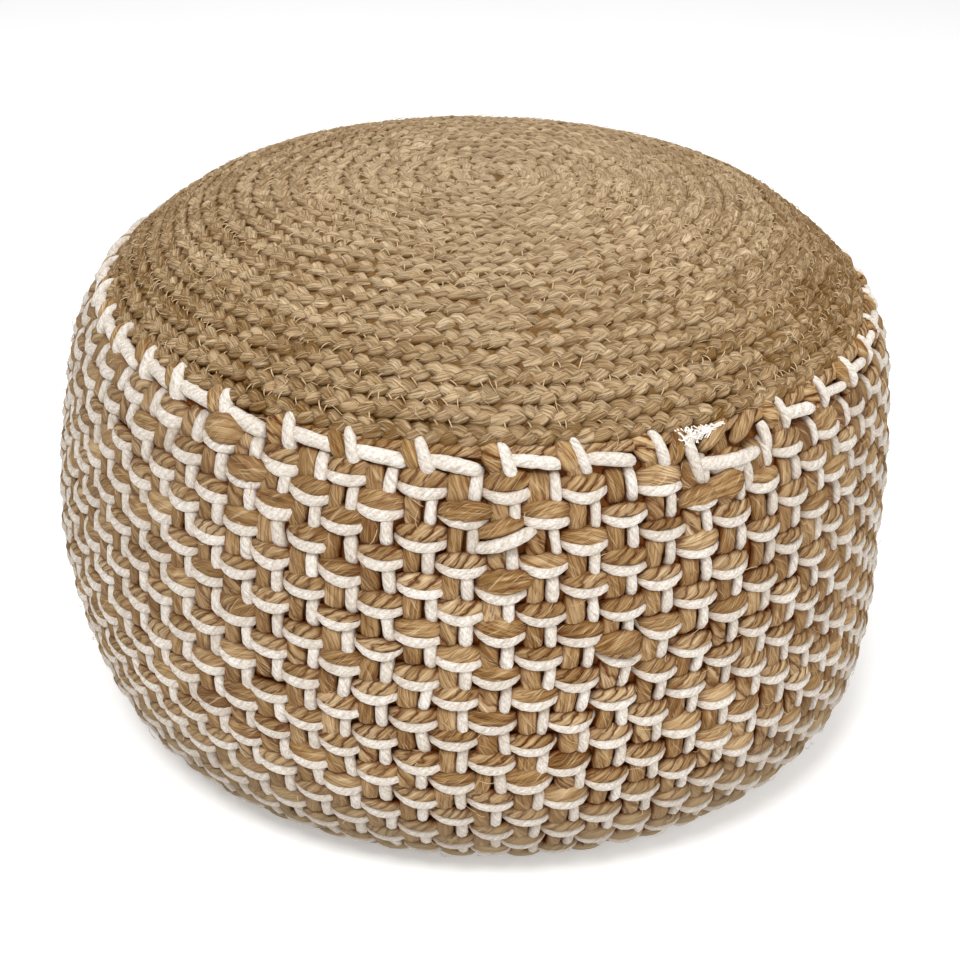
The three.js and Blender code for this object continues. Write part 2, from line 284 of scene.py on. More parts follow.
def ripple(dice, waves=9, longest=260.0, shortest=45.0):
    """A smooth wandering over the skin, mostly within 1 of 0, by the sideways and upward place."""
    length = dice.uniform(shortest, longest, waves)
    heading = dice.uniform(0, math.tau, waves)
    phase = dice.uniform(0, math.tau, waves)

    def value(sideways, upward):
        total = 0.0
        for size, aim, start in zip(length, heading, phase):
            way = sideways * math.cos(aim) + upward * math.sin(aim)
            total = total + np.sin(math.tau * way / size + start)
        return total / math.sqrt(waves)
    return value


# Cords

def link(name, data):
    piece = bpy.data.objects.new(name, data)
    bpy.context.scene.collection.objects.link(piece)
    return piece


def put_in_scene(name, mesh, look):
    """A piece of the pouf, with its look's material. The look's slot is not used."""
    material, slot = look
    mesh.materials.append(material)
    piece = link(name, mesh)
    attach(piece, "root")
    return piece


def cap_quads(sides):
    return np.array([(k, k + 1, sides - 2 - k, sides - 1 - k) for k in range(sides // 2 - 1)])


def cord_faces(count, stations, sides):
    """Faces of many closed cords: their walls and both ends, all of four sides."""
    ring = np.arange(sides)
    after = (ring + 1) % sides
    station = np.arange(stations - 1)[:, None] * sides
    walls = np.stack([station + ring, station + sides + ring, station + sides + after, station + after], -1)
    start = cap_quads(sides)
    end = start[:, ::-1] + (stations - 1) * sides
    one = np.concatenate([walls.reshape(-1, 4), start, end])
    return (one[None] + (np.arange(count) * stations * sides)[:, None, None]).reshape(-1, 4)


def vector_attribute(mesh, name, values):
    layer = mesh.attributes.new(name, "FLOAT_VECTOR", "POINT")
    layer.data.foreach_set("vector", np.ascontiguousarray(values, dtype=np.float32).ravel())


def lay_map(mesh, stations, sides, length):
    """The cords' own UV map: metres along the cord, and turns round it from its inner side."""
    corners = np.empty(len(mesh.loops), dtype=np.int32)
    mesh.loops.foreach_get("vertex_index", corners)
    faces_each = (stations - 1) * sides + 2 * (sides // 2 - 1)
    corner_in_face = np.arange(len(corners)) % 4
    face_in_cord = (np.arange(len(corners)) // 4) % faces_each
    ring = corners % sides
    far_side = (face_in_cord < (stations - 1) * sides) & (ring == 0) & (corner_in_face >= 2)
    around = ring / sides + far_side
    uv = np.stack([length.ravel()[corners // sides], around], axis=-1)
    mesh.uv_layers.new(name="lay").data.foreach_set("uv", uv.astype(np.float32).ravel())


def cords(name, place, wide, thick, shade, look, sides=8, edge=0.0, seed=0, twist=0.0, groove=0.0, drift=0.0):
    """Many cords as one mesh. place holds the turn, the way along the outline and the depth of each
    cord's stations; wide and thick are half sizes along the skin and out from it. shade holds the tone,
    the painted shade of hollows and the grey of each station, or of each corner, and edge adds painted
    shade towards the inner side. twist is how far the plies have turned, groove how deep they meet and
    drift how far the fibres have turned."""
    place = [np.atleast_2d(v) for v in place]
    centre = skin(*place)
    count, stations = centre.shape[:2]
    way = np.gradient(centre, axis=1)
    way /= np.linalg.norm(way, axis=-1, keepdims=True)
    across = np.cross(way, outward_at(*place))
    across /= np.linalg.norm(across, axis=-1, keepdims=True)
    out = np.cross(across, way)

    # Corners start on the inner side, where the pattern's seam is hidden
    angle = math.tau * (np.arange(sides) / sides) - math.pi / 2
    wide, thick, twist, groove, drift = (
        np.broadcast_to(v, (count, stations)) for v in (wide, thick, twist, groove, drift))
    sideways = (wide[..., None] * np.cos(angle))[..., None] * across[:, :, None]
    outwards = (thick[..., None] * np.sin(angle))[..., None] * out[:, :, None]
    points = centre[:, :, None] + sideways + outwards
    points[..., 2] = np.maximum(points[..., 2], FLOOR_GAP)

    mesh = bpy.data.meshes.new(name)
    mesh.from_pydata((points.reshape(-1, 3) * MM).tolist(), [], cord_faces(count, stations, sides).tolist())
    mesh.shade_smooth()

    # Each cord's pattern starts at a place of its own
    steps = np.linalg.norm(np.diff(centre, axis=1), axis=-1)
    length = np.concatenate([np.zeros((count, 1)), np.cumsum(steps, axis=1)], axis=1)
    length = length + np.random.default_rng(seed).uniform(0, PATTERN_SHIFT, (count, 1))
    lay_map(mesh, stations, sides, length * MM)
    tone, hollow_shade, grey = (v[..., None] if 0 < np.ndim(v) < 3 else v for v in shade)
    # Painted shade on each cord's inner side and towards its two sides, added to the painted shade of hollows
    hollow_shade = hollow_shade + edge * np.clip(0.35 - np.sin(angle), 0, 1)
    shades = [np.broadcast_to(v, (count, stations, sides)) for v in (tone, hollow_shade, grey)]
    vector_attribute(mesh, "shade", np.stack(shades, axis=-1))
    plies = np.stack([twist / math.tau, groove, drift / math.tau], axis=-1)
    vector_attribute(mesh, "plies", np.repeat(plies[:, :, None, :], sides, axis=2))
    return put_in_scene(name, mesh, look)


def painted_place_shade(turn, along, at_left=0.4):
    """Painted shade as greyness by place: more at both sides and near the floor, where less light falls, and
    more at the left.
    """
    left = 0.5 - 0.5 * np.sin(turn)
    low = np.clip(1 - along / 120, 0, 1)
    return 0.05 + at_left * left ** 2 + 0.6 * np.sin(turn) ** 2 + 2.6 * low


def cotton_fullness(turn):
    """The cotton is thicker at the left of the pouf than at the right."""
    right = np.clip(np.sin(turn), -0.6, 0.6)
    return 0.97 - 0.22 * right + 0.1 * right ** 2


def ply_lay(chance, run, loose, pitch=19.5):
    """How the plies and fibres of each cord turn along its run, and how deep its plies meet. A loose
    cord is a nearly straight bundle of fibre; the others are well twisted."""
    pitches = pitch * np.exp(chance.own(0.18) + 0.5 * loose)
    twist = math.tau * run / pitches + chance.within(0, math.tau)
    drift = twist * (1 - loose) * 0.7 + math.tau * run / 90 * (0.6 + chance.own(0.9)) * loose
    return {"twist": twist, "drift": drift, "groove": chance.within(0.65, 1.0) * (1 - 0.75 * loose)}


# Weave

def between(table, across, down):
    """Values of a table between its entries."""
    table = np.asarray(table)
    left = np.minimum(across.astype(int), table.shape[1] - 2)
    top = np.minimum(down.astype(int), table.shape[0] - 2)
    right_share, low_share = across - left, down - top
    upper = table[top, left] * (1 - right_share) + table[top, left + 1] * right_share
    lower = table[top + 1, left] * (1 - right_share) + table[top + 1, left + 1] * right_share
    return upper * (1 - low_share) + lower * low_share


def stray(column, below):
    """How far the weave strays at a column, some way below the seam: as a turn, and upwards."""
    nearest = (column + COLUMNS / 2) % COLUMNS - COLUMNS / 2
    across = np.interp(nearest, STRAY_COLUMNS, range(len(STRAY_COLUMNS)))
    down = np.interp(below, STRAY_BELOW, range(len(STRAY_BELOW)))
    return between(STRAY_SIDEWAYS, across, down) / BELLY_RADIUS, between(STRAY_UPWARDS, across, down)


def weave_cells(floats, middle_below, dice):
    """The weave's cells with a float across, or those with pegs up and down. For each: its row, its
    turn, the way along the outline to its middle, its size, the slope of its cords, and how far it
    drifts sideways and upwards."""
    column, row = np.meshgrid(np.arange(COLUMNS), np.arange(ROWS), indexing="ij")
    chosen = ((column + row) % 2 == 0) == floats
    column, row = column[chosen], row[chosen]
    turn = FIRST_COLUMN_TURN + column * COLUMN_TURN
    seam = SEAM_ALONG + np.clip(1 - row / LEVEL_ROW, 0, 1) * (seam_at(turn) - SEAM_ALONG)
    below = COTTON_BELOW + row * ROW_PITCH
    size = radius_at(seam - below) * COLUMN_TURN / BELLY_PITCH
    aside, up = stray(column, below)
    middle = seam + up - middle_below - row * ROW_PITCH
    keep = middle > LOWEST_ALONG
    if floats:
        slope = (stray(column + 0.5, below)[1] - stray(column - 0.5, below)[1]) / BELLY_PITCH
        keep &= row > 0
        for laid_column, laid_row in LAID_CELLS:
            keep &= (column != laid_column) | (row != laid_row)
    else:
        shift = stray(column, below - SLOPE_STEP)[0] - stray(column, below + SLOPE_STEP)[0]
        slope = shift * BELLY_RADIUS / (2 * SLOPE_STEP)
    cells = [v[keep][:, None] for v in (row, turn + aside, middle, size, slope)]
    row, turn = cells[:2]
    return cells + [ripple(dice)(turn * BELLY_RADIUS, row * ROW_PITCH) for _ in range(2)]


def weave_floats(looks):
    dice = np.random.default_rng(7)
    row, turn, middle, size, slope, drift_side, drift_up = weave_cells(True, COTTON_BELOW, dice)
    chance = Chance(dice, len(row))
    level, shift, length, lean, sag, tone = (chance.own(1) for _ in range(6))

    def run(stations, reach):
        return np.linspace(-1, 1, stations) * reach * size * (1 + 0.05 * length)

    def lay(s, above, depth):
        upward = middle + above + (slope + 0.035 * lean) * s
        upward = upward + 0.7 * level + 1.3 * drift_up
        return turn + (s + 0.7 * shift + drift_side) / radius_at(upward), upward, depth

    def dive(s, reach):
        return 7.5 * (1.13 * np.abs(s) / (reach * size)) ** 2.9

    # White cotton, sagging like a smile and drawn in at both ends
    s = run(COTTON_FLOAT_STATIONS, COTTON_FLOAT_REACH)
    smile = 3.2 * (1 + 0.3 * sag) * (s / (12 * size)) ** 2
    drawn_in = 1 - 0.45 * np.clip(np.abs(s) / (13.6 * size), 0, 1.2) ** 2.4
    full = COTTON_FLOAT_HALF + 0.3 * np.clip(2 - row / 2, 0, 1)
    thick = full * cotton_fullness(turn) * (0.82 + 0.18 * size) * (1 + chance.own(0.07))
    thick = thick * drawn_in * (1 + chance.own(0.055, COTTON_FLOAT_STATIONS))
    sunk = dive(s, COTTON_FLOAT_REACH)
    place = lay(s, smile, thick + sunk)
    # Painted shade: darker where the float dives under, greyer at the sides and near the floor
    shade = 0.4 * tone, np.clip(sunk / 8, 0, 1), painted_place_shade(turn, place[1], at_left=0.1)
    cords("weft_cotton", place, thick * COTTON_BROADER, thick, shade, looks["cotton"], edge=0.65, seed=11)

    # Jute, fat in the middle and drawn in at both ends
    s = run(JUTE_FLOAT_STATIONS, JUTE_FLOAT_REACH)
    fatter = np.clip(1 - np.abs(s / (JUTE_FLOAT_REACH * size)) ** 2.3, 0, 1)
    first = (row == 1) * 1.0
    loose = chance.some(0.32)
    fat = chance.own(0.1) - 0.1 + loose * (0.13 + 0.3 * chance.some(0.2))
    wide = JUTE_END_WIDE + (JUTE_FLOAT_WIDE - JUTE_END_WIDE + 0.5 * loose + first) * fatter
    wide = wide * (1 + fat) * (1 + chance.own(0.05, JUTE_FLOAT_STATIONS))
    thick = (JUTE_END_THICK + (JUTE_FLOAT_THICK - JUTE_END_THICK) * fatter) * (1 + 0.4 * fat)
    bow = 0.8 * (s / (12 * size)) ** 2
    above = JUTE_ABOVE_COTTON + 0.9 * first + 2.0 * fat + chance.own(0.4) - bow
    sunk = dive(s, JUTE_FLOAT_REACH)
    place = lay(s, above, thick + 0.3 + sunk)
    # Painted shade: darker where the float dives under, greyer at the sides and near the floor
    shade = 0.7 * tone, np.clip(sunk / 7, 0, 1), painted_place_shade(turn, place[1])
    cords("weft_jute", place, wide, thick, shade, looks["jute"], edge=1.25, seed=12,
          **ply_lay(chance, s, loose))


def weave_pegs(looks):
    dice = np.random.default_rng(8)
    row, turn, middle, size, slope, drift_side, drift_up = weave_cells(False, PEG_BELOW, dice)
    chance = Chance(dice, len(row))

    def lay(t, aside, depth):
        upward = middle + t + 0.8 * drift_up
        sway = chance.own(0.5) + t * (slope + chance.own(0.07))
        return turn + (aside * size + sway + 0.9 * drift_side) / radius_at(upward), upward, depth

    def dive(t):
        return 4.5 * np.clip((np.abs(t) - 4.4) / 4, 0, 2) ** 1.5

    # Painted shade for the pegs: some all along, more towards both ends where they dive under, and greyness
    # at the sides and near the floor, a little more for the jute pegs
    def shades(t, upward, hollow_shade, grey, at_left):
        return chance.own(0.6), hollow_shade + reached(np.abs(t), 4, 11), painted_place_shade(turn, upward, at_left) + grey

    # White cotton pegs, on the right of each pair
    t = chance.stations(-PEG_REACH, PEG_REACH, COTTON_PEG_STATIONS)
    thick = COTTON_PEG_HALF * cotton_fullness(turn) * (0.8 + 0.2 * size) * (1 + chance.own(0.06))
    thick = thick * (1 + chance.own(0.05, COTTON_PEG_STATIONS))
    place = lay(t, COTTON_PEG_ASIDE, thick + 1.2 + dive(t))
    shade = shades(t, place[1], 0.06, 0.0, 0.1)
    keep = row[:, 0] > 0
    place, shade, thick = [v[keep] for v in place], [v[keep] for v in shade], thick[keep]
    cords("warp_cotton", place, COTTON_BROADER * thick, thick, shade, looks["cotton"], edge=0.65, seed=13)

    # Jute pegs, on the left of each pair
    t = chance.stations(-PEG_REACH, PEG_REACH, JUTE_PEG_STATIONS)
    fat = 1 + chance.own(0.11) + chance.own(0.04, JUTE_PEG_STATIONS)
    wide = JUTE_PEG_WIDE * (0.75 + 0.25 * size) * fat
    thick = JUTE_PEG_THICK * (0.8 + 0.2 * size) * fat
    place = lay(t, JUTE_PEG_ASIDE, thick + 1.7 + dive(t))
    loose = chance.some(0.75)
    cords("warp_jute", place, wide, thick, shades(t, place[1], 0.16, 0.1, 0.4), looks["jute"], edge=1.2,
          seed=14, **ply_lay(chance, t, loose, pitch=24.0))


def edge_lacing(looks):
    """White pegs leaning over the braid's edge, long white floats between them, and jute beside the pegs."""
    column = 2 * np.arange(COLUMNS // 2)[:, None] + 1
    column = column[column[:, 0] != JOINT_COLUMN]
    aside, up = stray(column, PEG_BELOW)
    turn = FIRST_COLUMN_TURN + column * COLUMN_TURN
    seam = seam_at(turn) + up
    turn = turn + aside
    chance = Chance(np.random.default_rng(9), len(turn))
    t = chance.stations(0, 1, LACING_STATIONS)

    def lay(rise, aside, depth):
        upward = seam + rise
        return turn + aside / radius_at(upward), upward, depth

    def shades():
        return chance.own(0.4), 0 * t, 0.2 * (0.5 - 0.5 * np.sin(turn))

    # Pegs, tucked in at both ends
    rise = -18.5 + LACING_PEG_RISE * t + chance.own(0.8)
    aside = 3.8 + LACING_PEG_ASIDE * t * (1 + chance.own(0.25)) + chance.own(0.6)
    tuck = 7.5 * reached(t, 0.38, 0) ** 1.3 + 4.0 * reached(t, 0.74, 1) ** 1.8
    radius = LACING_PEG_HALF * cotton_fullness(turn) * (1 + chance.own(0.07))
    radius = radius * (1 + chance.own(0.05, LACING_STATIONS)) * (1 - 0.25 * t ** 3)
    pegs = cords("lacing_pegs", lay(rise, aside, radius - 1.8 + tuck), radius, radius, shades(),
                 looks["cotton"], sides=10, edge=0.3, seed=15)

    # Floats, each from its peg down to the next
    rise = -8.0 + chance.own(0.7) - LACING_FLOAT_DROP * t ** 1.2 * (1 + chance.own(0.4))
    aside = 1.5 + LACING_FLOAT_ASIDE * t * (1 + chance.own(0.04))
    tuck = 5.0 * reached(t, 0.84, 1) ** 2 + 2.5 * reached(t, 0.2, 0) ** 2
    radius = LACING_FLOAT_HALF * cotton_fullness(turn) * (1 + chance.own(0.06))
    radius = radius * (1 + chance.own(0.04, LACING_STATIONS)) * (1 - 0.2 * reached(t, 0.8, 1))
    place = lay(rise, aside, radius - 0.8 + tuck)
    seen = column[:, 0] != JOINT_COLUMN - 2
    place, shade, radius = [v[seen] for v in place], [v[seen] for v in shades()], radius[seen]
    cords("lacing_floats", place, radius, radius, shade, looks["cotton"], sides=10, edge=0.3, seed=16)

    # Jute, climbing at the left of each peg
    rise = -13 + LACING_JUTE_RISE * t + chance.own(1.0)
    aside = -4.4 + LACING_JUTE_ASIDE * t + chance.own(0.8)
    ends = np.abs(2 * t - 1) ** 3
    wide = (3.1 + 2.6 * (1 - ends)) * (1 + chance.own(0.13))
    thick = 2.4 + 1.7 * (1 - ends)
    place = lay(rise, aside, thick - 1.3 + 5.0 * ends)
    loose = chance.some(0.5)
    cords("lacing_jute", place, wide, thick, shades(), looks["jute"], edge=0.6, seed=17,
          **ply_lay(chance, rise, loose, pitch=20.0))
    return pegs


def bent(start, middle, end, t):
    """A smooth way through three values, at t from 0 to 1."""
    return start * (1 - t) * (1 - 2 * t) + middle * 4 * t * (1 - t) + end * t * (2 * t - 1)


def laid_cords(name, rows, look, seed, turned=False, edge=0.4):
    """Cords laid one by one, each from a row of its turns, ways below the seam and depths, then its
    half width and half thickness in the middle. Turned cords are loose, and narrow to their ends."""
    chance = Chance(np.random.default_rng(seed), len(rows))
    t = np.linspace(0, 1, LAID_STATIONS)
    turn, below, depth = (
        bent(*np.transpose([row[part] for row in rows])[..., None], t) for part in range(3))
    wide, thick = np.transpose([row[3:] for row in rows])[..., None]
    ends = np.abs(2 * t - 1)
    full = 1 - 0.55 * ends ** 3.0 if turned else 1 - 0.15 * ends ** 4
    wide = wide * full * (1 + chance.own(0.05, LAID_STATIONS))
    place = np.radians(turn), SEAM_ALONG - below, depth
    # Painted shade that grows with each cord's depth, and greyness at the sides and near the floor
    shade = chance.own(0.5), np.clip(depth / 8, 0, 1) * 0.25, painted_place_shade(*place[:2])
    lay = ply_lay(chance, LAID_LENGTH * t, 1.0) if turned else {}
    return cords(name, place, wide, thick * full, shade, look, sides=10, edge=edge, seed=seed, **lay)


def joint(looks):
    """Where the panel's two ends meet, right of the front: a low lacing float, fat jute loops and one
    frayed cord end; and the fat loops elsewhere."""
    laid_cords("joint_cotton", JOINT_COTTON, looks["cotton"], seed=71)
    laid_cords("fat_loops", FAT_LOOPS, looks["jute"], seed=72, turned=True, edge=0.6)

    # The frayed end is a fan of thin crossing threads, drawn to a point at the right
    chance = Chance(np.random.default_rng(73), FRAY_THREADS)
    t = np.linspace(0, 1, 7)
    start = chance.within(0, 0.75)
    reach = np.clip(start + chance.within(0.15, 0.4) * t, 0, 1)
    side = np.where(np.arange(FRAY_THREADS) % 2 == 0, 1, -1)[:, None]
    spread = side * (1 - 2 * t) * chance.within(0.2, 1.0)
    spread = spread + 0.2 * np.sin(7 * t + chance.within(0, 6))
    turn, below = (start + (end - start) * reach for start, end in zip(FRAY_START, FRAY_END))
    below = below + FRAY_SPREAD * (1 - 0.85 * reach) * spread
    depth = -1.5 + 1.2 * reach + chance.own(0.8)
    place = np.radians(turn), SEAM_ALONG - below, depth
    cords("frayed_end", place, *FRAY_HALF, (chance.own(0.8), 0, 0), looks["lint"], sides=6, seed=74)


def edge_cord(looks):
    """The twisted jute that fills the seam outside the braid, where its end isn't tucked in."""
    sway = ripple(np.random.default_rng(21), longest=120, shortest=25)
    behind = np.linspace(-0.2, math.tau * (1 - TUCKED_TURNS) + 0.2, EDGE_CORD_STATIONS)
    turn = BRAID_END_TURN + behind
    run = turn * SEAM_RADIUS
    inner_edge = BRAID_PITCH * (BRAID_TURNS + 0.5 - behind / math.tau)
    outer_edge = CROWN_ALONG - SEAM_ALONG + 8.0
    middle = (inner_edge + outer_edge) / 2
    upward = CROWN_ALONG - middle * top_stretch(turn) + 0.6 * sway(run, 0)
    ends = np.clip(np.minimum(behind + 0.2, behind[-1] - behind) / 0.2, 0, 1)
    wide = np.clip((outer_edge - inner_edge) / 2 + 1.0, 2.4, 6.5) * (1 + 0.12 * sway(run, 500))
    wide = wide * (0.5 + 0.5 * ends)
    thick = np.clip(0.75 * wide, 1.8, 4.2)
    depth = thick + 0.8 + 0.5 * sway(run, 300) + 4 * (1 - ends)
    # A little painted shade all along the cord, and more on its inner side
    return cords("edge_cord", (turn, upward, depth), wide, thick, (0.6 * sway(run, 900), 0.15, 0.1),
                 looks["jute"], sides=10, edge=0.6, seed=22,
                 twist=run * math.tau / 20, groove=0.8, drift=run * math.tau / 30)


# Braid

def coil(way):
    """Turn, even way from the crown's middle and its stretch, at a winding angle of the coiled braid."""
    turn = BRAID_END_TURN + math.tau * BRAID_TURNS - way
    return turn, BRAID_PITCH * way / math.tau, top_stretch(turn)


def coil_stations():
    """Winding angles at even steps along the braid, with the length run so far."""
    fine = np.linspace(math.tau * BRAID_START_TURNS, math.tau * (BRAID_TURNS + TUCKED_TURNS), 40000)
    radius = BRAID_PITCH * fine / math.tau
    step = np.hypot(np.gradient(radius), radius * np.gradient(fine))
    length = np.cumsum(step) - step[0]
    even = np.linspace(0, length[-1], int(length[-1] / (BRAID_PERIOD / BRAID_SECTIONS)))
    return np.interp(even, length, fine), even


def braided_top(looks):
    """Three strands of one flat braid, coiled from the middle outwards, its end tucked under the lacing."""
    way, length = coil_stations()
    turn, middle, reach = coil(way)
    rim = middle / BRAID_RADIUS
    right, front = np.sin(turn), np.cos(turn)
    dice = np.random.default_rng(31)
    wobble, bulge, height = (ripple(dice, longest=90, shortest=14) for _ in range(3))
    turn_tone = ripple(dice, waves=14, longest=900, shortest=60)
    tucked = np.clip(way / math.tau - BRAID_TURNS, 0, 1)
    corner = math.tau * np.arange(8) / 8 - math.pi / 2
    strands = []
    for strand in range(3):
        phase = math.tau * (length / BRAID_PERIOD + strand / 3) + 0.35 * wobble(length, 50 * strand)
        swing = BRAID_SWING * (1 + 0.08 * bulge(length, 70 * strand))
        aside = swing * np.sin(phase) + 0.35 * wobble(length, 900)
        aside = aside * np.clip(middle / 6, 0.35, 1)
        lift = BRAID_LIFT * np.sin(2 * phase) + 0.3 * height(length, 40 * strand)
        on_top = np.clip(np.sin(2 * phase), 0, 1)
        wide = (STRAND_WIDE + 0.75 * on_top) * (1 + 0.1 * bulge(length, 200 + 90 * strand))
        thick = (STRAND_THICK + 0.2 * on_top) * (1 + 0.08 * height(length, 300 + 90 * strand))
        depth = STRAND_DEPTH - lift + 7 * tucked + 6 * reached(length, length[-1] - 15, length[-1])
        place = turn, CROWN_ALONG - middle * reach - aside, depth

        # Each lobe has a tone of its own. Painted shade darkens the strands towards the rim, most where they
        # are seen aslant, and where a strand dips under the others
        lobe = np.floor(phase / math.pi).astype(int)
        lobe_tone = dice.normal(0, 1, lobe.max() + 2)[lobe]
        rim_shade_weight = 0.5 + 1.1 * np.abs(right) + 0.6 * np.clip(right, 0, 1)
        tone = 0.5 * lobe_tone + 0.5 * turn_tone(length, 0) - rim_shade_weight * np.clip(rim, 0, 1) ** 3
        hollow_shade = (0.4 + 0.45 * rim ** 2) * (1 - np.clip(np.sin(2 * phase) * 1.6 + 0.75, 0, 1))
        grey = 0.6 - 0.45 * np.clip(front, 0, 1) * rim - 0.45 * np.abs(right) * rim

        # Corners near the braid's two edges lie in the groove between turns and get painted shade there, more
        # towards the rim; the painted shade on the strands' inner sides also grows towards the rim
        deep = np.clip(0.25 + 0.35 * rim + 0.25 * turn_tone(length, 4000), 0, 1)
        reach_out = np.abs(aside[:, None] - wide[:, None] * np.cos(corner))
        hollow_shade = hollow_shade[:, None] + reached(reach_out, 3.6, 5.8) * deep[:, None]
        strands.append(cords(f"braid_strand_{strand + 1}", place, wide, thick, (tone, hollow_shade[None], grey),
                             looks["braid"], edge=(0.35 + 0.6 * rim ** 2)[:, None], seed=32 + strand))
    return strands


def braid_stitches(looks):
    """Pale thread in zigzags over the grooves between the braid's turns."""
    way, length = coil_stations()
    dice = np.random.default_rng(41)
    spots = np.arange(40.0, length[-1] - 20, STITCH_STEP)
    spots = spots + dice.normal(0, 0.35, len(spots))
    here = np.interp(spots, length, way)
    turn, middle, reach = coil(here)
    shown = ripple(dice, longest=400, shortest=60)
    keep = shown(spots, 0) + 0.5 * np.cos(turn) + 0.8 * dice.normal(0, 1, len(spots)) > 1.1
    keep &= here < math.tau * (BRAID_TURNS - 1 + TUCKED_TURNS)
    slant = np.where(np.arange(len(spots)) % 2 == 0, 1.0, -1.0) * (1 + 0.5 * dice.normal(0, 1, len(spots)))
    turn, middle, reach, slant = (v[keep][:, None] for v in (turn, middle, reach, slant))
    chance = Chance(dice, len(turn))
    t = np.linspace(-1, 1, 4)
    from_middle = middle + BRAID_PITCH / 2 + t * (2.3 + chance.own(0.5))
    angle = turn - slant * t * 1.5 / np.maximum(middle, 12)
    depth = np.clip(2.0 - 1.9 * (1 - np.abs(t)) + chance.own(0.4), 0.1, 4)
    place = angle, CROWN_ALONG - from_middle * reach, depth
    return cords("braid_stitches", place, *STITCH_HALF, (chance.own(0.5), 0, 0.2), looks["thread"],
                 sides=4, seed=42)


# Stray fibres

def stray_fibres(looks):
    """Fine ends of jute that stand off the cords and the braid."""
    chance = Chance(np.random.default_rng(51), FIBRES)
    turn = chance.within(-math.pi, math.pi)
    on_top = chance.some(0.7)
    top_along = CROWN_ALONG - FIBRE_TOP_RADIUS * np.sqrt(chance.within(0.002, 1))
    along = np.where(on_top, top_along, chance.within(10, SEAM_ALONG))
    heading = chance.own(0.5) + math.pi * (1 - chance.some(0.5))
    length = chance.within(4, 13)
    t = np.linspace(0, 1, 4)
    aim = heading + chance.own(0.9) * t
    ahead, rise = (np.cumsum(part, axis=1) * length / 4 for part in (np.cos(aim), np.sin(aim)))
    proud = chance.within(0.2, 2.0) * np.sin(math.pi * np.clip(t * chance.within(0.5, 1.0), 0, 1))
    place = turn + ahead / np.maximum(radius_at(along), 25), along + rise, 0.8 - proud
    return cords("stray_fibres", place, *FIBRE_HALF, (chance.own(0.9) - 0.3, 0, 0.2), looks["thread"],
                 sides=4, seed=52)


# Filled body and base

def mesh_of(name, shape):
    """The shape as a mesh with smooth faces."""
    mesh = bpy.data.meshes.new(name)
    shape.to_mesh(mesh)
    shape.free()
    mesh.shade_smooth()
    return mesh


def filled_body(looks):
    """The filled round inside the weave, swelled by pressure against its cover."""
    along = np.concatenate([np.linspace(0, SEAM_ALONG, 44), np.linspace(SEAM_ALONG, CROWN_ALONG, 22)[1:]])
    under = np.interp(along, (SEAM_ALONG - 15, SEAM_ALONG + 5), (BODY_UNDER_SIDE, BODY_UNDER_TOP))
    section = skin(0.0, along, under)
    section[-1, 1] = 0
    shell = bmesh.new()
    corners = [shell.verts.new((0, 0, section[0, 2] * MM))]
    corners += [shell.verts.new((0, y * MM, z * MM)) for _, y, z in section]
    edges = [shell.edges.new(pair) for pair in zip(corners, corners[1:])]
    bmesh.ops.spin(shell, geom=corners + edges, cent=(0, 0, 0), axis=(0, 0, 1), angle=math.tau, steps=96,
                   use_merge=True)
    bmesh.ops.remove_doubles(shell, verts=shell.verts, dist=0.05 * MM)
    bmesh.ops.recalc_face_normals(shell, faces=shell.faces)
    for corner in shell.verts:
        x, y, height = corner.co / MM
        reach = max(math.hypot(x, y), 1.0)
        kept = 1 - flattened(math.atan2(x, -y), height) * min(1, reach / 150) / reach
        corner.co.x = (x * kept + np.interp(height, LEAN_HEIGHTS, LEAN_SIDEWAYS)) * MM
        corner.co.y = y * kept * MM
    body = put_in_scene("filled_body", mesh_of("filled_body", shell), looks["ground"])
    swell(body, BODY_VOXEL * MM, BODY_PRESSURE, BODY_FRAMES, BODY_LARGEST_MOVE * MM)
    return body


def swell(piece, voxel, pressure, frames, most):
    """Remeshes a closed piece, blows it up as cloth, and keeps the result up to a largest movement."""
    remesh = piece.modifiers.new("even_mesh", "REMESH")
    remesh.mode = "VOXEL"
    remesh.voxel_size = voxel
    remesh.use_smooth_shade = True
    keep_shape(piece)
    piece.modifiers.clear()
    start = corner_places(piece.data)

    cloth = piece.modifiers.new("cover", "CLOTH")
    cloth.settings.quality = 5
    cloth.settings.use_pressure = True
    cloth.settings.uniform_pressure_force = pressure
    cloth.settings.effector_weights.gravity = 0
    cloth.point_cache.frame_start = 1
    cloth.point_cache.frame_end = frames
    scene = bpy.context.scene
    for step in range(1, frames + 1):
        scene.frame_set(step)
    keep_shape(piece)
    piece.modifiers.clear()
    scene.frame_set(1)

    moved = corner_places(piece.data) - start
    far = np.linalg.norm(moved, axis=1, keepdims=True)
    moved *= np.minimum(1, most / np.maximum(far, 1e-9))
    piece.data.vertices.foreach_set("co", (start + moved).astype(np.float32).ravel())
    piece.data.update()


def keep_shape(piece):
    """Makes what the piece's modifiers give its own mesh."""
    bpy.context.view_layer.update()
    shaped = piece.evaluated_get(bpy.context.evaluated_depsgraph_get())
    old = piece.data
    piece.data = bpy.data.meshes.new_from_object(shaped)
    piece.data.name = piece.name
    bpy.data.meshes.remove(old)


def corner_places(mesh):
    places = np.empty(len(mesh.vertices) * 3, dtype=np.float32)
    mesh.vertices.foreach_get("co", places)
    return places.reshape(-1, 3)


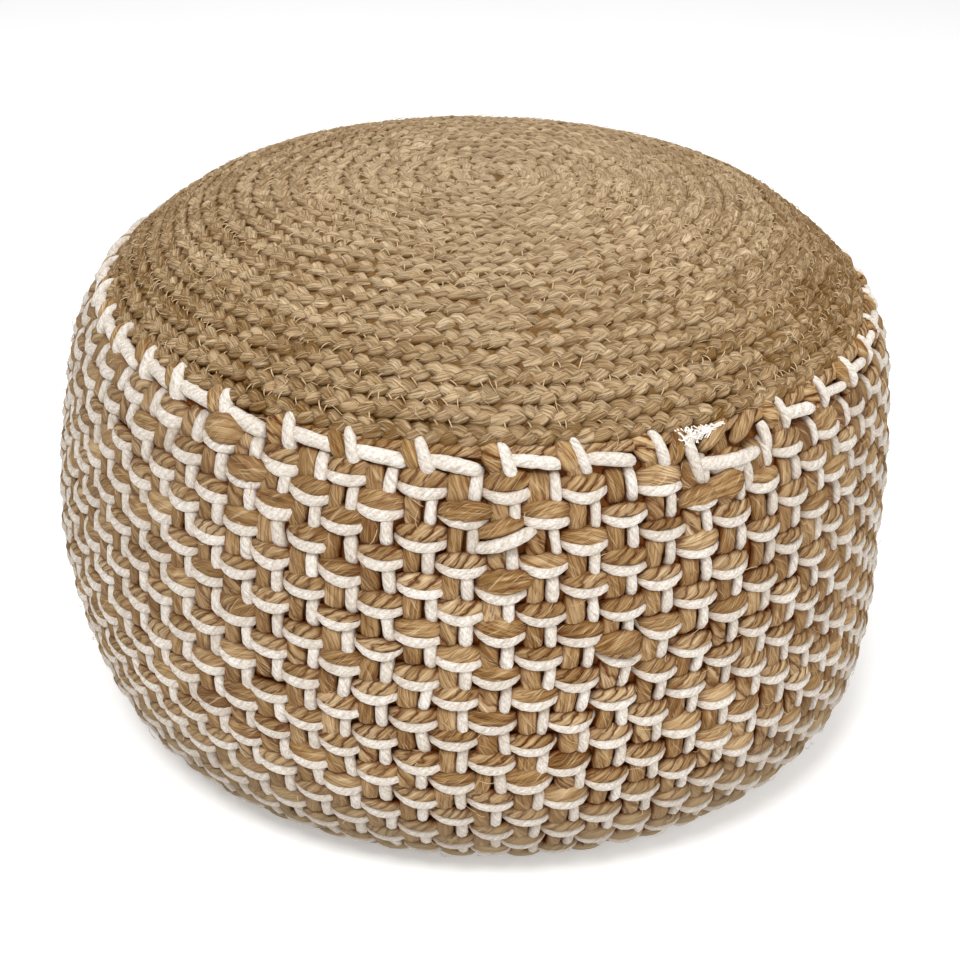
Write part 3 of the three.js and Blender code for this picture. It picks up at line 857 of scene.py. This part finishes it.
def base_cloth(looks):
    """A round of close jute cloth, drawn flat under the pouf."""
    pucker = ripple(np.random.default_rng(61), longest=60, shortest=20)
    cloth = bmesh.new()
    bmesh.ops.create_circle(cloth, cap_ends=False, segments=96, radius=PANEL_RADIUS * MM)
    edges = list(cloth.edges)
    radius = PANEL_RADIUS
    for smaller in PANEL_RINGS:
        grown = bmesh.ops.extrude_edge_only(cloth, edges=edges)["geom"]
        corners = [g for g in grown if isinstance(g, bmesh.types.BMVert)]
        edges = [g for g in grown if isinstance(g, bmesh.types.BMEdge)]
        bmesh.ops.scale(cloth, vec=(smaller / radius, smaller / radius, 1), verts=corners)
        radius = smaller
    bmesh.ops.contextual_create(cloth, geom=edges)
    for corner in cloth.verts:
        x, y = corner.co.x / MM, corner.co.y / MM
        corner.co.x += LEAN_SIDEWAYS[0] * MM
        corner.co.z = (PANEL_HEIGHT + 0.5 * pucker(x, y)) * MM
    bmesh.ops.recalc_face_normals(cloth, faces=cloth.faces)
    piece = put_in_scene("base_cloth", mesh_of("base_cloth", cloth), looks["base"])
    body = piece.modifiers.new("cloth_thickness", "SOLIDIFY")
    body.thickness = PANEL_THICKNESS * MM
    body.offset = 0
    return piece


# Materials

def srgb(red, green, blue):
    """A colour read from a screen, 0 to 255, as linear light."""
    values = [c / 255 for c in (red, green, blue)]
    return [c / 12.92 if c <= 0.04045 else ((c + 0.055) / 1.055) ** 2.4 for c in values] + [1.0]


def tones(*stops):
    """Stops of a colour ramp, each from a place and a colour read from a screen."""
    return [(place, srgb(*colour)) for place, *colour in stops]


class Finish:
    """A material in the making. Each method adds nodes and gives the socket with their result."""

    def __init__(self, name):
        self.material = bpy.data.materials.new(name)
        self.material.use_nodes = True
        self.material.node_tree.nodes.clear()

    def node(self, kind, settings=None, **inputs):
        """One node. An input is a value, or another node's socket to link."""
        tree = self.material.node_tree
        node = tree.nodes.new(kind)
        for name, value in (settings or {}).items():
            setattr(node, name, value)
        for name, value in inputs.items():
            socket = node.inputs[int(name[1:]) if name[0] == "_" else name.replace("_", " ")]
            if isinstance(value, bpy.types.NodeSocket):
                tree.links.new(value, socket)
            else:
                socket.default_value = value
        return node

    def lay(self):
        return self.node("ShaderNodeUVMap", {"uv_map": "lay"}).outputs["UV"]

    def place(self):
        return self.node("ShaderNodeTexCoord").outputs["Object"]

    def parts(self, vector):
        outputs = self.node("ShaderNodeSeparateXYZ", Vector=vector).outputs
        return [outputs[axis] for axis in "XYZ"]

    def read(self, name):
        """The three parts of an attribute of the cords."""
        return self.parts(self.node("ShaderNodeAttribute", {"attribute_name": name}).outputs["Vector"])

    def noise(self, vector, scale, detail=3.0, rough=0.55):
        """Noise about 0.5. A scale of two numbers is the one along the pattern and the one across."""
        if isinstance(scale, tuple):
            vector = self.node("ShaderNodeMapping", Vector=vector, Scale=(*scale, 1)).outputs["Vector"]
            scale = 1.0
        return self.node("ShaderNodeTexNoise", Vector=vector, Scale=scale, Detail=detail,
                         Roughness=rough).outputs["Fac"]

    def ramp(self, value, stops):
        node = self.node("ShaderNodeValToRGB", Fac=value)
        band = node.color_ramp
        while len(band.elements) < len(stops):
            band.elements.new(0.5)
        for element, (place, colour) in zip(band.elements, stops):
            element.position = place
            element.color = colour
        return node.outputs["Color"]

    def maths(self, operation, first, second=0.0, third=0.0, clamp=False):
        settings = {"operation": operation, "use_clamp": clamp}
        return self.node("ShaderNodeMath", settings, _0=first, _1=second, _2=third).outputs[0]

    def times(self, first, second, clamp=False):
        return self.maths("MULTIPLY", first, second, clamp=clamp)

    def away(self, value, middle):
        """How far a value is from a middle one, either way."""
        return self.maths("ABSOLUTE", self.maths("SUBTRACT", value, middle))

    def weighted(self, *terms):
        """The sum of values, each times its weight."""
        total = None
        for value, weight in terms:
            part = self.times(value, weight)
            total = part if total is None else self.maths("ADD", total, part)
        return total

    def mixed(self, share, first, second):
        settings = {"data_type": "RGBA", "blend_type": "MIX"}
        return self.node("ShaderNodeMix", settings, _0=share, _6=first, _7=second).outputs[2]

    def done(self, colour, roughness, relief, strength, height, sheen=0.0, specular=0.2, glow=0.0):
        """Ends the material: its colour, and a relief of a strength and of a height in millimetres."""
        bump = self.node("ShaderNodeBump", Strength=strength, Distance=height * MM, Height=relief)
        shader = self.node("ShaderNodeBsdfPrincipled", Base_Color=colour, Roughness=roughness,
                           Normal=bump.outputs["Normal"], Sheen_Weight=sheen, Sheen_Roughness=0.5,
                           Specular_IOR_Level=specular, Emission_Color=(1, 1, 1, 1),
                           Emission_Strength=glow)
        self.node("ShaderNodeOutputMaterial", Surface=shader.outputs["BSDF"])
        return self.material


def along_fibres(finish, lay, drift):
    """The lay map, turned so that its lines follow the fibres."""
    run, around, _ = finish.parts(lay)
    around = finish.maths("SUBTRACT", around, drift)
    return finish.node("ShaderNodeCombineXYZ", X=run, Y=around).outputs["Vector"]


def ply_relief(finish, lay, turned, strength):
    """Three twisted plies: how round each is, the narrow groove where two meet, which is drawn as painted
    shade, and each ply's own tone.
    """
    around = finish.parts(lay)[1]
    sway = finish.times(finish.noise(lay, (120, 3), detail=2.0), 0.5)
    around = finish.maths("ADD", around, sway)
    ply = finish.times(finish.maths("SUBTRACT", around, turned), 3.0)
    wave = finish.times(ply, math.pi)
    back = finish.maths("ABSOLUTE", finish.maths("SINE", wave))
    groove_shade = finish.maths("POWER", finish.maths("ABSOLUTE", finish.maths("COSINE", wave)), 11.0)
    tone = finish.node("ShaderNodeTexWhiteNoise", {"noise_dimensions": "1D"},
                       W=finish.maths("FLOOR", ply)).outputs["Value"]
    return [finish.times(value, strength) for value in (back, groove_shade, tone)]


def thin_lines(finish, value, reach):
    """1 along the thin wandering lines where a noise passes its middle value."""
    return finish.maths("SUBTRACT", 1.0, finish.times(finish.away(value, 0.5), 1 / reach), clamp=True)


def hollow_and_side_shade(finish, lay, hollow_shade, in_hollows, at_sides):
    """Painted shade: how dark a place is by its hollows, and by how near it is to its cord's two sides and
    inner side.
    """
    away = finish.away(finish.parts(lay)[1], 0.5)
    sides = finish.maths("MULTIPLY_ADD", away, 7.5, third=-1.0, clamp=True)
    return finish.maths("MULTIPLY_ADD", hollow_shade, in_hollows, third=finish.times(sides, at_sides), clamp=True)


def fibrous_jute(name, stops, gap_shade_colour, hollow_shade_colour, grey_colour, plied):
    """Jute: long fibres along each cord in lighter and darker bundles, with painted shade in the gaps between
    bundles, in hollows and at each cord's sides, and a few pale fibres that cross them. The weave's cords are
    plied, and the braid's strands aren't."""
    finish = Finish(name)
    lay = finish.lay()
    tone, hollow_shade, grey = finish.read("shade")
    twist, groove, drift = finish.read("plies")
    fibres = along_fibres(finish, lay, drift)

    fine = finish.noise(fibres, (95, 46), detail=4.0, rough=0.72)
    broad = finish.noise(fibres, (50, 12), detail=2.0)
    patch = finish.noise(fibres, (60, 2.5), detail=2.0)
    gaps = thin_lines(finish, finish.noise(fibres, (38, 11), detail=1.5), 0.04)
    mix = finish.weighted((fine, 0.45 if plied else 0.62), (broad, 0.42), (patch, 0.3), (tone, 0.07))
    crossing = along_fibres(finish, fibres, finish.times(finish.parts(lay)[0], 24.0))
    loose = thin_lines(finish, finish.noise(crossing, (24, 11), detail=1.0), 0.02)
    relief = finish.weighted((fine, 0.7), (broad, 0.8), (gaps, -0.55), (loose, 0.4))
    # Painted shade in the thin gaps between fibre bundles
    shadow = finish.times(gaps, 0.6 if plied else 0.75)
    # Plied cords: a little painted light on each ply's rounded back, and painted shade in the grooves where
    # plies meet
    if plied:
        back, groove_shade, ply_tone = ply_relief(finish, lay, twist, groove)
        mix = finish.weighted((mix, 1.0), (back, 0.06), (ply_tone, 0.1))
        relief = finish.weighted((relief, 0.6), (back, 2.2))
        shadow = finish.maths("ADD", shadow, groove_shade, clamp=True)
    colour = finish.ramp(finish.maths("SUBTRACT", mix, 0.14 if plied else 0.17), stops)
    colour = finish.mixed(shadow, colour, gap_shade_colour)
    colour = finish.mixed(finish.times(loose, 0.5), colour, stops[-1][1])
    # Greyer by the shade's grey, which on the weave's cords is painted shade at the sides and near the floor
    colour = finish.mixed(finish.times(grey, 0.55, clamp=True), colour, grey_colour)
    # Painted shade in hollows and at the cord's sides and inner side
    sunk = hollow_and_side_shade(finish, lay, hollow_shade, 0.85, 0.52 if plied else 0.42)
    colour = finish.mixed(sunk, colour, hollow_shade_colour)
    return finish.done(colour, 0.9, relief, 0.9, 0.9, specular=0.03)


def soft_cotton(name):
    """Cotton cord: off-white and matt, with soft twisted ridges and fine pits greyed by painted shade;
    painted shade also greys it by place and browns it in hollows and at its sides.
    """
    finish = Finish(name)
    lay = finish.lay()
    twisted = along_fibres(finish, lay, finish.times(finish.parts(lay)[0], 52.0))
    tone, hollow_shade, grey = finish.read("shade")

    felt = finish.noise(lay, (620, 20), detail=4.0, rough=0.65)
    lumps = finish.noise(twisted, (170, 9), detail=2.5)
    pit_shade = finish.ramp(lumps, tones((0.30, 255, 255, 255), (0.45, 0, 0, 0)))
    colour = finish.ramp(finish.weighted((felt, 0.6), (lumps, 0.4), (tone, 0.05)),
                         tones((0.3, 176, 163, 147), (0.48, 212, 202, 189), (0.66, 250, 245, 238)))
    # Painted shade in the fine pits, greyer at the sides and near the floor, and browner painted shade in
    # hollows and at the sides
    colour = finish.mixed(finish.times(pit_shade, 0.32), colour, srgb(160, 146, 134))
    colour = finish.mixed(finish.times(grey, 0.4, clamp=True), colour, srgb(160, 150, 138))
    colour = finish.mixed(hollow_and_side_shade(finish, lay, hollow_shade, 0.8, 0.3), colour, srgb(150, 112, 74))
    relief = finish.weighted((felt, 0.5), (lumps, 0.8))
    return finish.done(colour, 0.92, relief, 0.9, 1.2, sheen=0.05, specular=0.15)


def thin_thread(name, *stops):
    """Single threads: one tone each, with hardly any relief."""
    finish = Finish(name)
    tone = finish.read("shade")[0]
    colour = finish.ramp(finish.maths("MULTIPLY_ADD", tone, 0.2, third=0.5), tones(*stops))
    return finish.done(colour, 0.8, finish.noise(finish.lay(), (900, 6)), 0.4, 0.1)


def dark_ground(name):
    """What shows in the hollows between the cords: red-brown jute, darkened as painted shade, and paler under
    the braid.
    """
    finish = Finish(name)
    place = finish.place()
    mottle = finish.noise(place, 300.0)
    on_top = finish.node("ShaderNodeMapRange", {"clamp": True}, Value=finish.parts(place)[2],
                         From_Min=0.25, From_Max=0.27).outputs["Result"]
    colour = finish.ramp(mottle, tones((0.3, 104, 52, 14), (0.7, 148, 92, 44)))
    paler = finish.ramp(mottle, tones((0.3, 92, 62, 26), (0.7, 124, 92, 52)))
    return finish.done(finish.mixed(on_top, colour, paler), 0.95, mottle, 0.5, 1.0)


def woven_cloth(name):
    """Plain close-woven jute cloth."""
    finish = Finish(name)
    place = finish.place()
    across, up = (
        finish.node("ShaderNodeTexWave", {"bands_direction": axis, "wave_profile": "SIN"}, Vector=place,
                    Scale=160.0, Distortion=1.2, Detail=2.0).outputs["Fac"] for axis in "XY")
    weave = finish.times(across, up)
    warp_slubs = finish.noise(place, (620, 14))
    weft_slubs = finish.noise(place, (14, 620))
    colour = finish.ramp(finish.weighted((weave, 0.4), (warp_slubs, 0.4), (weft_slubs, 0.4)),
                         tones((0.3, 122, 94, 58), (0.5, 166, 139, 102), (0.7, 192, 168, 130)))
    return finish.done(colour, 0.9, weave, 0.6, 0.5)


def make_looks():
    """Each look's material, and the name of a slot, which is not used."""
    side_tones = tones((0.30, 84, 44, 2), (0.44, 150, 114, 67), (0.56, 192, 159, 115), (0.74, 236, 209, 168))
    top_tones = tones((0.30, 120, 87, 45), (0.44, 170, 142, 105), (0.56, 200, 173, 136),
                      (0.74, 238, 216, 180))
    # Each jute's ramp, then the dark colours of its painted shade in gaps and in hollows, and its grey
    jute = fibrous_jute("jute_cord", side_tones, srgb(92, 40, 4), srgb(102, 48, 4), srgb(146, 128, 101), True)
    braid = fibrous_jute("jute_braid", top_tones, srgb(100, 66, 24), srgb(96, 62, 18), srgb(194, 172, 142),
                         False)
    thread = thin_thread("stitching_thread", (0.0, 150, 112, 70), (0.5, 205, 178, 138), (1.0, 228, 208, 172))
    lint = thin_thread("frayed_cotton", (0.0, 214, 204, 190), (0.5, 244, 238, 230), (1.0, 252, 249, 244))
    return {
        "jute": (jute, "jute_cord"),
        "braid": (braid, "jute_braid"),
        "cotton": (soft_cotton("cotton_cord"), "cotton_cord"),
        "thread": (thread, "jute_braid"),
        "lint": (lint, "cotton_cord"),
        "ground": (dark_ground("jute_ground"), "jute_cord"),
        "base": (woven_cloth("base_cloth"), "base_cloth"),
    }


# Stage, in metres but for the camera's target and distance

CAMERA_TARGET = Vector((4.85, 0.0, 120.93)) * MM
CAMERA_DISTANCE = 1050 * MM
CAMERA_ELEVATION = math.radians(28.168)
CAMERA_ROLL = math.radians(1.44)
CAMERA_LENS = 63.29
CAMERA_SENSOR = 36
FLOOR_HALF = 4.0
LIGHT_TARGET = Vector((0, 0, 0.15))
LIGHTS = (
    ("key_light", (-0.5, -1.3, 2.2), 0.9, 38.5),
    ("fill_light", (1.7, -1.3, 1.3), 1.4, 16.5),
    ("top_light", (0.2, 0.5, 2.4), 1.4, 15))
WORLD_LIGHT = 0.475


def make_camera():
    data = bpy.data.cameras.new("camera")
    data.sensor_width = CAMERA_SENSOR
    data.lens = CAMERA_LENS
    camera = link("camera", data)
    back = Vector((0, -math.cos(CAMERA_ELEVATION), math.sin(CAMERA_ELEVATION)))
    camera.location = CAMERA_TARGET + back * CAMERA_DISTANCE
    aim = (-back).to_track_quat("-Z", "Y") @ Quaternion((0, 0, 1), CAMERA_ROLL)
    camera.rotation_euler = aim.to_euler()
    bpy.context.scene.camera = camera


def make_floor():
    finish = Finish("pale_floor")
    grain = finish.noise(finish.place(), 3.0)
    colour = finish.ramp(grain, [(0.0, (0.86, 0.86, 0.86, 1)), (1.0, (0.9, 0.9, 0.9, 1))])
    material = finish.done(colour, 0.9, grain, 0.02, 1.0, specular=0.0, glow=0.3)
    floor = bmesh.new()
    bmesh.ops.create_grid(floor, x_segments=1, y_segments=1, size=FLOOR_HALF)
    mesh = bpy.data.meshes.new("floor")
    floor.to_mesh(mesh)
    floor.free()
    mesh.materials.append(material)
    link("floor", mesh)


def make_light(name, place, size, power):
    data = bpy.data.lights.new(name, "AREA")
    data.shape = "DISK"
    data.size = size
    data.energy = power
    lamp = link(name, data)
    lamp.location = place
    lamp.rotation_euler = (LIGHT_TARGET - Vector(place)).to_track_quat("-Z", "Y").to_euler()


def make_lights():
    for light in LIGHTS:
        make_light(*light)
    world = bpy.data.worlds.new("studio")
    world.use_nodes = True
    ground = world.node_tree.nodes["Background"]
    ground.inputs["Color"].default_value = (1, 1, 1, 1)
    ground.inputs["Strength"].default_value = WORLD_LIGHT
    bpy.context.scene.world = world
    bpy.context.scene.view_settings.view_transform = "Standard"


make_camera()
looks = make_looks()

body = filled_body(looks)
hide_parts("woven_body")
weave_floats(looks)
weave_pegs(looks)

pegs = edge_lacing(looks)
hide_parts("edge_lacing")
joint(looks)
edge_cord(looks)

strands = braided_top(looks)
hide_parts("braided_top")
braid_stitches(looks)
stray_fibres(looks)

base = base_cloth(looks)
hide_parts("base_panel")

make_floor()
make_lights()
